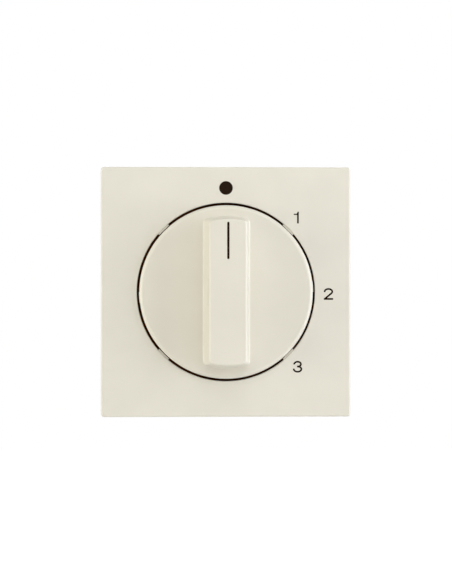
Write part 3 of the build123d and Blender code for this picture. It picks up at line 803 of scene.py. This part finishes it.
class SWITCH_OT_knob(bpy.types.Operator):
    """Make the knob: disc, skirt, hooks, grip bar, hub and ribs"""

    bl_idname = "switch.knob"
    bl_label = "Knob"

    def execute(self, context):
        size = context.scene.switch_knob
        disc = disc_depth(size)
        disc_back = disc + size.disc_wall
        top = front_of("pointer_line") + size.print_stand
        room_front = top + size.grip_wall
        back = -size.skirt_clear
        knob = rod("knob_body", size.radius, disc, back, segments=192)
        round_depth(knob, disc, size.rim, 8)
        hollow(knob, size.skirt_wall, back - disc_back)
        join(knob, *grip_and_foot(size, top))
        cut(knob, grip_solid("grip_room", size, room_front, disc_back + THIN_OVERLAP, size.grip_wall, 64))
        join(knob, hub(size, room_front - THIN_OVERLAP))
        rib_length = 2 * (size.radius - size.skirt_wall + THIN_OVERLAP)
        rib = upright("rib", rib_length, size.rib, disc_back - THIN_OVERLAP, -size.rib_clear)
        join(knob, *copy_turned(rib, (0, math.pi / 2)))
        join(knob, hook_ring(size, back))
        join(knob, pads(size, back))
        slit_height = 4.2 * MM
        slit = upright(
            "slit", size.slit_width, slit_height, back - size.slit_depth, back + PAST, z=size.radius
        )
        angles = [math.pi / 2 * n + side * size.slit_angle for n in range(4) for side in SIDES.values()]
        cut(knob, *copy_turned(slit, angles))
        bore_front = front_of("spindle") - 0.3 * MM
        bore = rod("bore", size.bore_radius, bore_front, back_of("knob") + PAST, segments=48)
        slice_off(bore, (0, 0, size.bore_flat), (0, 0, 1))
        cut(knob, bore)
        # Painted shade: the skirt's outside and the hooks get a warm dark tone behind the rim, standing in
        # for the shade deep in the gap round the knob.
        gap = (size.radius - 0.2 * MM, size.radius + size.hook_reach, disc + 1.5 * MM, disc + 2.2 * MM)
        cream = plastic("cream_knob", context.scene.switch_colours.knob, gap=gap)
        hand_over(knob, cream, KNOB, "cream_knob", "knob")
        return {"FINISHED"}


class SWITCH_OT_nodes(bpy.types.Operator):
    """Give the marks, the screws and the mechanism their materials"""

    bl_idname = "switch.nodes"
    bl_label = "Marks and mechanism"

    def execute(self, context):
        colours = context.scene.switch_colours
        finishes = {
            ink("print", colours.print): ["scale_dot", "scale_numerals", "pointer_line"],
            metal("spring_steel", colours.spring, 0.2, 0.35, (1, 1, 4)): [
                "knob_leaf_spring", "spindle_clip", "detent_spring_1", "detent_spring_2",
                *(f"clamp_spring_{name}" for name in CORNERS),
            ],
            metal("bronze", colours.bronze, 0.25, 0.4, (1, 4, 1)): ["wiper_contact"],
            metal("brass", colours.brass, 0.25, 0.4, (4, 1, 1)): [
                "common_contact", "contact_1", "contact_2", "contact_3",
            ],
            metal("screw_steel", colours.screw, 0.25, 0.4): ["frame_screws", "cover_screws"],
            plastic("spindle_moulding", colours.spindle): ["spindle"],
            plastic("rotor_moulding", colours.rotor): ["detent_rotor"],
            metal("silver", colours.silver, 0.2, 0.3): ["contact_tips"],
        }
        for material, names in finishes.items():
            for name in names:
                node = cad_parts[name]
                node.data.materials.clear()
                node.data.materials.append(material)
        return {"FINISHED"}


class SWITCH_OT_support_frame(bpy.types.Operator):
    """Make the steel frame with its rim and holes"""

    bl_idname = "switch.support_frame"
    bl_label = "Support frame"

    def execute(self, context):
        size = context.scene.switch_insert
        plate = context.scene.switch_plate
        low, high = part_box("support_frame")
        depth = high.y - low.y
        sheet = upright("frame_sheet", high.x - low.x, high.z - low.z, low.y, high.y)
        round_corners(sheet, size.frame_corner, 8, depth / 2)
        hollow(sheet, size.frame_rim, depth - size.sheet)
        front, back = low.y - PAST, high.y + PAST
        neck_clear, slot_clear, slot_fit, claw_screw_clear = 0.7 * MM, 0.3 * MM, 0.1 * MM, 0.1 * MM
        cut(sheet, rod("neck_hole", size.neck_radius + neck_clear, front, back, segments=96))
        corner = size.box_circle * math.sqrt(0.5)
        for x in (-corner, corner):
            for z in (-corner, corner):
                cut(sheet, rod("box_hole", size.box_hole_radius, front, back, x, z, segments=48))
        slot_width = plate.catch_width + 2 * slot_clear
        slot_height = plate.catch_thickness + 2 * slot_fit
        for side in SIDES.values():
            cut(sheet, upright("slot", slot_width, slot_height, front, back, z=side * plate.catch_up))
            pillar = side * size.pillar_offset
            cut(sheet, rod("hole", size.screw_radius + RUNNING, front, back, z=pillar, segments=32))
            claw = side * size.claw_screw_across
            cut(sheet, rod("hole", size.claw_screw_radius + claw_screw_clear, front, back, claw, segments=32))
        soften(sheet, 0.08 * MM)
        # Painted shade: a warm dark ring on the sheet's front, under the gap round the knob, standing in for
        # the shade at the bottom of that gap.
        shaded = (plate.hole_radius - 0.8 * MM, plate.hole_radius + 0.3 * MM)
        gap = (*shaded, low.y - 1.0 * MM, low.y - 0.9 * MM)
        zinc = metal("zinc_steel", context.scene.switch_colours.zinc, 0.28, 0.5, (1, 1, 6), gap=gap)
        hand_over(sheet, zinc, SWITCH, "zinc_steel", "support_frame")
        return {"FINISHED"}


def octagon(name, node, chamfer, front, back):
    """Square block with cut corners, as wide as a node is high."""
    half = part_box(node)[1].z
    piece = upright(name, 2 * half, 2 * half, front, back)
    round_corners(piece, chamfer, 1, (back - front) / 2)
    return piece


def spring_holder(size, x):
    """Post with a slot that holds one end of a detent spring, above the axis."""
    width, height = 2.0 * MM, 2.6 * MM
    front, back = size.split, size.holder_back
    holder = upright("holder", width, height, front - THIN_OVERLAP, back, x, size.holder_up)
    slot_front = front + 0.1 * MM
    cut(holder, upright("slot", width + PAST, size.leaf_slot, slot_front, back + PAST, x, size.holder_up))
    return holder


class SWITCH_OT_cover(bpy.types.Operator):
    """Make the grey front of the housing with its neck and spring holders"""

    bl_idname = "switch.cover"
    bl_label = "Mechanism cover"

    def execute(self, context):
        size = context.scene.switch_insert
        node = "mechanism_cover"
        seat = SHEET_BACK
        back = size.split
        cover = octagon("cover_shell", node, size.chamfer, seat, back)
        join(cover, rod("neck", size.neck_radius, front_of(node), seat + THIN_OVERLAP, segments=64))
        for angle in (math.radians(45), math.radians(225)):
            for side in SIDES.values():
                join(cover, turn(spring_holder(size, side * size.holder_across), angle))
        cut(cover, rod("bore", size.neck_bore, front_of(node) - PAST, back + PAST, segments=64))
        sink_radius, sink_depth = 2.42 * MM, 1.32 * MM
        loose, tight = size.screw_radius + RUNNING, size.screw_radius + SNUG
        for place in (-size.pillar_offset, size.pillar_offset):
            cut(cover, rod("hole", loose, seat - PAST, back + PAST, 0, place, 32))
            cut(cover, rod("hole", tight, seat - PAST, back + PAST, place, 0, 32))
            cut(cover, rod("sink", sink_radius, seat, seat + sink_depth, place, 0, 32, tight))
        soften(cover, 0.12 * MM)
        grey = plastic("grey_moulding", context.scene.switch_colours.cover, 0.4, 0.5, 1.2e-6, 0.05)
        hand_over(cover, grey, SWITCH, "grey_moulding", node)
        return {"FINISHED"}


def sink_front(piece, wall, depth):
    """Sink the front face inwards, leaving a wall round it."""
    front = min(v.co.y for v in piece.data.vertices)
    select_faces(piece, lambda middle, normal: near(middle.y, front) and normal.y < -0.9)
    sink_selected(wall, depth)


def cut_terminal(base, size, back, x, z):
    """Pocket of one terminal, its wire hole with a flared mouth and its button's opening."""
    pocket = upright(
        "pocket", 8.0 * MM, 6.0 * MM, size.floor_front - PAST, size.pocket_back, x * 8.6 * MM, z * 15.2 * MM
    )
    cut(base, pocket)
    wire_x, wire_z = x * size.wire_across, z * size.wire_up
    inside = size.pocket_back - PAST
    cut(base, rod("wire", size.wire_radius, inside, back + PAST, wire_x, wire_z, 48))
    wide = size.wire_radius + size.funnel
    just_past = back + 0.001 * MM
    cut(base, rod("mouth", size.wire_radius, back - size.funnel, just_past, wire_x, wire_z, 48, wide))
    opening = size.button_slot
    cut(base, upright("slot", opening, opening, inside, back + PAST, x * size.button_across, wire_z))


def add_claw_guide(base, size, edge, side):
    """Two rails and the ledge between them that guide one claw."""
    rail_width, rail_height = 4.5 * MM, 1.4 * MM
    rail_front, rail_back = 4.2 * MM, 24.0 * MM
    rail_x = edge + side * (rail_width / 2 - OVERLAP)
    for z in (-size.rail_up, size.rail_up):
        join(base, upright("rail", rail_width, rail_height, rail_front, rail_back, rail_x, z))
    ledge_width, ledge_front, ledge_back = 1.5 * MM, 6.75 * MM, 7.95 * MM
    ledge_x = edge + side * (ledge_width / 2 - OVERLAP)
    join(base, upright("ledge", ledge_width, 9.0 * MM, ledge_front, ledge_back, ledge_x))


class SWITCH_OT_base(bpy.types.Operator):
    """Make the white base with its wire holes, button slots, recess and claw rails"""

    bl_idname = "switch.base"
    bl_label = "Base housing"

    def execute(self, context):
        size = context.scene.switch_insert
        node = "base_housing"
        front, back = front_of(node), back_of(node)
        base = octagon("base_shell", node, size.chamfer, front, back)
        round_depth(base, back, 0.5 * MM, 4)
        sink_front(base, size.wall, size.floor_front - front)
        for x, z in ((1, 0), (-1, 0), (0, 1), (0, -1)):
            x, z = x * size.pillar_offset, z * size.pillar_offset
            join(base, rod("pillar", size.pillar_radius, front, size.floor_front + OVERLAP, x, z, 48))
            cut(base, rod("thread", size.screw_radius + SNUG, front - PAST, size.screw_tip, x, z, 32))
        bearing_depth = 3.0 * MM
        floor = size.floor_front
        cut(base, rod("bearing", size.bearing_radius, floor - PAST, floor + bearing_depth, segments=32))
        cut(base, rod("core", size.core_radius, back - size.core_depth, back + PAST, segments=96))
        for x, z in CORNERS.values():
            cut_terminal(base, size, back, x, z)
        for side in SIDES.values():
            add_claw_guide(base, size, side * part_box(node)[1].z, side)
        soften(base, 0.12 * MM)
        white = plastic("white_moulding", context.scene.switch_colours.base, 0.35, 0.45, 1.0e-6, 0.03)
        hand_over(base, white, SWITCH, "white_moulding", node)
        return {"FINISHED"}


def release_button(name, node, away):
    """Square push piece with a slanted heel, a slot for the tool and a flange, at its node's place."""
    low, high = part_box(node)
    middle = (low + high) / 2
    width = high.z - low.z
    heel_depth, flange_front, flange_back = 23.16 * MM, 22.7 * MM, 23.8 * MM
    button = upright(name, width, width, low.y, high.y, middle.x, middle.z)
    round_corners(button, 0.3 * MM, 4, 2 * MM)
    round_depth(button, high.y, 0.2 * MM, 3)
    heel = Vector((middle.x, heel_depth, middle.z - away * width / 2))
    slice_off(button, heel, (0, -width, away * (low.y - heel_depth)))
    slot_front = high.y - 0.5 * MM
    cut(button, upright("slot", 0.6 * width, 0.4 * MM, slot_front, high.y + PAST, middle.x, middle.z))
    inner, outer = middle.z - away * width / 4, middle.z + away * width / 2
    flange_low = (low.x, flange_front, min(inner, outer))
    flange_high = (high.x, flange_back, max(inner, outer))
    join(button, block("flange", flange_low, flange_high))
    return button


class SWITCH_OT_buttons(bpy.types.Operator):
    """Make the four orange release buttons"""

    bl_idname = "switch.buttons"
    bl_label = "Release buttons"

    def execute(self, context):
        material = plastic("button_moulding", context.scene.switch_colours.button, 0.35, 0.45, 1e-6, 0.05)
        for name, (_, away) in CORNERS.items():
            node = f"release_button_{name}"
            button = release_button(f"button_{name}", node, away)
            hand_over(button, material, f"button_{name}", "button_moulding", node)
        return {"FINISHED"}


def strip_outline(points, thickness):
    """Outline of a bent strip, from the line along its middle."""
    points = [Vector(point) for point in points]
    normals = []
    for here, there in zip(points, points[1:]):
        step = (there - here).normalized()
        normals.append(Vector((step.y, -step.x)))
    normals = [normals[0], *normals, normals[-1]]
    offsets = [
        (before + after) / (1 + before.dot(after)) * thickness / 2
        for before, after in zip(normals, normals[1:])
    ]
    one_side = [point + offset for point, offset in zip(points, offsets)]
    other_side = [point - offset for point, offset in zip(points, offsets)]
    return one_side + other_side[::-1]


def bent_claw(size):
    """Right claw: a strip of sheet, bent twice, with a hole for its screw and three teeth."""
    thickness = size.claw_sheet
    half = size.claw_width / 2
    middle = front_of("claw_right") + thickness / 2
    inner_end, arm, tooth_end = 20.4 * MM, 25.3 * MM, 26.1 * MM
    arm_back, tooth_back = middle + 10 * MM, middle + 11 * MM
    points = [(inner_end, middle), (arm, middle), (arm, arm_back), (tooth_end, tooth_back)]
    claw = line("claw", strip_outline(points, thickness))
    bpy.ops.object.mode_set(mode="EDIT")
    bpy.ops.mesh.select_all(action="SELECT")
    bpy.ops.mesh.edge_face_add()
    bpy.ops.transform.translate(value=(0, 0, -half))
    bpy.ops.mesh.extrude_region_move(TRANSFORM_OT_translate={"value": (0, 0, 2 * half)})
    bpy.ops.mesh.select_all(action="SELECT")
    bpy.ops.mesh.normals_make_consistent(inside=False)
    bpy.ops.object.mode_set(mode="OBJECT")
    outer_bend, inner_bend = 1.1 * MM, 0.15 * MM
    for side, bend in ((1, outer_bend), (-1, inner_bend)):
        across, depth = arm + side * thickness / 2, middle - side * thickness / 2
        round_edges(
            claw, bend, 5,
            lambda a, b: near(a.y, depth) and near(b.y, depth)
            and near(a.x, across) and near(b.x, across) and abs(a.z - b.z) > half,
        )
    hole_radius, reach = 1.85 * MM, 2 * thickness
    cut(claw, rod("hole", hole_radius, middle - reach, middle + reach, size.claw_screw_across, segments=48))
    gap_front = arm_back + 0.5 * MM
    for z in (-size.claw_width / 6, size.claw_width / 6):
        cut(claw, upright("gap", 3 * MM, 1 * MM, gap_front, tooth_back + 2 * MM, tooth_end, z))
    soften(claw, 0.08 * MM)
    return claw


def threaded_screw(size):
    """Right claw screw with a rounded head, a cross recess and a thread."""
    head_depth, head_radius, head_round = 2.0 * MM, 2.5 * MM, 0.65 * MM
    plain_length, blunt_tip = 2.0 * MM, 0.3 * MM
    head_front, tip = front_of("claw_screw_right"), back_of("claw_screw_right")
    seat = head_front + head_depth
    pitch = size.thread_pitch
    crest = size.claw_screw_radius
    root = crest - 0.6 * pitch
    depth = seat + plain_length
    profile = [(0, seat - PAST), (crest, seat - PAST), (crest, depth)]
    while depth + pitch < tip - blunt_tip:
        profile += [(root, depth + pitch / 2), (crest, depth + pitch)]
        depth += pitch
    profile += [(root, tip), (0, tip)]
    screw = turned("screw", profile, 40)
    head = rod("head", head_radius, head_front, seat, segments=64)
    round_depth(head, head_front, head_round, 5)
    join(screw, head)
    recess_length, recess_width, recess_depth = 2.6 * MM, 0.7 * MM, 0.8 * MM
    recess = upright("recess", recess_length, recess_width, head_front - PAST, head_front + recess_depth)
    cut(screw, *copy_turned(recess, (0, math.pi / 2)))
    pick(screw)
    bpy.ops.transform.translate(value=(size.claw_screw_across, 0, 0))
    return settle("screw")


class SWITCH_OT_claws(bpy.types.Operator):
    """Make the two bent claws and their screws"""

    bl_idname = "switch.claws"
    bl_label = "Claws and claw screws"

    def execute(self, context):
        size = context.scene.switch_insert
        colours = context.scene.switch_colours
        zinc = metal("claw_zinc", colours.zinc, 0.42, 0.6, (1, 5, 1))
        steel = metal("claw_screw_steel", colours.screw, 0.22, 0.38)
        right_claw, right_screw = bent_claw(size), threaded_screw(size)
        for name, side in SIDES.items():
            claw = copy_to_side(right_claw, f"claw_{name}_plate", side)
            hand_over(claw, zinc, f"claw_{name}", "zinc_steel", f"claw_{name}")
            screw = copy_to_side(right_screw, f"claw_screw_{name}_thread", side)
            hand_over(screw, steel, f"claw_screw_{name}", "screw_steel", f"claw_screw_{name}")
        bpy.data.objects.remove(right_claw)
        bpy.data.objects.remove(right_screw)
        return {"FINISHED"}


# Stage


def seen_directly(tree):
    """One where the camera, a reflection or clear material sees the surface, else zero."""
    path = tree.nodes.new("ShaderNodeLightPath")
    total = path.outputs["Is Camera Ray"]
    for name in ("Is Glossy Ray", "Is Transmission Ray"):
        node = tree.nodes.new("ShaderNodeMath")
        node.operation = "MAXIMUM"
        tree.links.new(total, node.inputs[0])
        tree.links.new(path.outputs[name], node.inputs[1])
        total = node.outputs[0]
    return total


def floor_material():
    """Pale floor that looks white and keeps the shadow."""
    material = bpy.data.materials.new("pale_floor")
    material.use_nodes = True
    tree = material.node_tree
    tree.nodes.clear()
    output = tree.nodes.new("ShaderNodeOutputMaterial")
    tone = 0.8
    diffuse = tree.nodes.new("ShaderNodeBsdfDiffuse")
    diffuse.inputs["Color"].default_value = (tone, tone, tone, 1)
    glow = tree.nodes.new("ShaderNodeEmission")
    strength = tree.nodes.new("ShaderNodeMath")
    strength.operation = "MULTIPLY"
    strength.inputs[1].default_value = tone
    tree.links.new(seen_directly(tree), strength.inputs[0])
    tree.links.new(strength.outputs[0], glow.inputs["Strength"])
    both = tree.nodes.new("ShaderNodeAddShader")
    tree.links.new(diffuse.outputs[0], both.inputs[0])
    tree.links.new(glow.outputs[0], both.inputs[1])
    tree.links.new(both.outputs[0], output.inputs["Surface"])
    return material


def sky(strength, colour):
    """Even warm light all round that the camera and reflections see as white."""
    world = bpy.data.worlds.new("studio")
    world.use_nodes = True
    bpy.context.scene.world = world
    tree = world.node_tree
    background = tree.nodes["Background"]
    seen = seen_directly(tree)
    mix = tree.nodes.new("ShaderNodeMix")
    mix.data_type = "RGBA"
    mix.inputs["A"].default_value = (*colour, 1)
    mix.inputs["B"].default_value = (1, 1, 1, 1)
    tree.links.new(seen, mix.inputs["Factor"])
    tree.links.new(mix.outputs["Result"], background.inputs["Color"])
    node = tree.nodes.new("ShaderNodeMapRange")
    node.inputs["To Min"].default_value = strength
    node.inputs["To Max"].default_value = 1.0
    tree.links.new(seen, node.inputs["Value"])
    tree.links.new(node.outputs["Result"], background.inputs["Strength"])


def lamp(name, place, aim, power, colour):
    """Soft square lamp, aimed at a point."""
    deselect()
    bpy.ops.object.light_add(type="AREA", location=place)
    light = bpy.context.active_object
    light.name = name
    light.data.energy = power
    light.data.size = 0.6
    light.data.color = colour
    light.rotation_euler = (Vector(aim) - Vector(place)).to_track_quat("-Z", "Y").to_euler()


class SWITCH_OT_stage(bpy.types.Operator):
    """Make the floor, the light and the camera"""

    bl_idname = "switch.stage"
    bl_label = "Stage"

    def execute(self, context):
        stage = context.scene.switch_stage
        aim = Vector((0, front_of("centre_plate"), 0))
        deselect()
        bpy.ops.mesh.primitive_plane_add(size=6, location=(0, 0, -stage.drop))
        floor = settle("floor")
        floor.data.materials.append(floor_material())
        sky(stage.sky, (1.0, 0.95, 0.80))
        cool, warm, white = (0.985, 0.995, 1.05), (1.0, 0.97, 0.87), (1.0, 1.0, 1.0)
        lamp("key", (0.75, -0.27, 0.08), aim, stage.key, cool)
        lamp("fill", (-0.77, -0.19, 0.03), aim, stage.fill, warm)
        lamp("top", (0.05, -0.46, 0.34), aim, stage.top, white)
        lamp("rear", (0.1, 0.75, 0.35), aim, stage.rear, white)
        back = Vector((
            math.sin(stage.azimuth) * math.cos(stage.elevation),
            -math.cos(stage.azimuth) * math.cos(stage.elevation),
            math.sin(stage.elevation),
        ))
        deselect()
        bpy.ops.object.camera_add(location=aim + back * stage.distance)
        camera = context.active_object
        camera.name = "camera"
        camera.rotation_euler = (-back).to_track_quat("-Z", "Y").to_euler()
        camera.data.lens = stage.focal
        camera.data.sensor_width = 36
        camera.data.clip_start = 0.01
        context.scene.camera = camera
        context.scene.view_settings.view_transform = "Standard"
        return {"FINISHED"}


class SWITCH_PT_panel(bpy.types.Panel):
    """Sizes, colours and the steps that make the switch"""

    bl_idname = "SWITCH_PT_panel"
    bl_label = "Rotary switch"
    bl_space_type = "VIEW_3D"
    bl_region_type = "UI"
    bl_category = "Switch"

    def draw(self, context):
        for title, name in GROUPS:
            box = self.layout.box()
            box.label(text=title)
            group = getattr(context.scene, name)
            for prop in group.bl_rna.properties:
                if prop.identifier not in ("rna_type", "name"):
                    box.prop(group, prop.identifier)
        for operator in STEPS:
            self.layout.operator(operator.bl_idname)


GROUPS = (
    ("Plate", "switch_plate"),
    ("Knob", "switch_knob"),
    ("Insert", "switch_insert"),
    ("Colours", "switch_colours"),
    ("Stage", "switch_stage"),
)
GROUP_CLASSES = (SWITCH_PG_plate, SWITCH_PG_knob, SWITCH_PG_insert, SWITCH_PG_colours, SWITCH_PG_stage)
STEPS = (
    SWITCH_OT_plate,
    SWITCH_OT_knob,
    SWITCH_OT_nodes,
    SWITCH_OT_support_frame,
    SWITCH_OT_cover,
    SWITCH_OT_base,
    SWITCH_OT_buttons,
    SWITCH_OT_claws,
    SWITCH_OT_stage,
)


def register():
    """Register the classes and put the groups on the scene."""
    for cls in (*GROUP_CLASSES, *STEPS, SWITCH_PT_panel):
        bpy.utils.register_class(cls)
    for (_, name), cls in zip(GROUPS, GROUP_CLASSES):
        setattr(bpy.types.Scene, name, bpy.props.PointerProperty(type=cls))


def unregister():
    """Take the groups and the classes away again."""
    for _, name in GROUPS:
        delattr(bpy.types.Scene, name)
    for cls in reversed((*GROUP_CLASSES, *STEPS, SWITCH_PT_panel)):
        bpy.utils.unregister_class(cls)


def main():
    """Make the switch and its stage."""
    register()
    bpy.ops.switch.plate()
    bpy.ops.switch.knob()
    bpy.ops.switch.nodes()
    bpy.ops.switch.support_frame()
    bpy.ops.switch.cover()
    bpy.ops.switch.base()
    bpy.ops.switch.buttons()
    bpy.ops.switch.claws()
    bpy.ops.switch.stage()
    deselect()


if __name__ == "__main__":
    main()
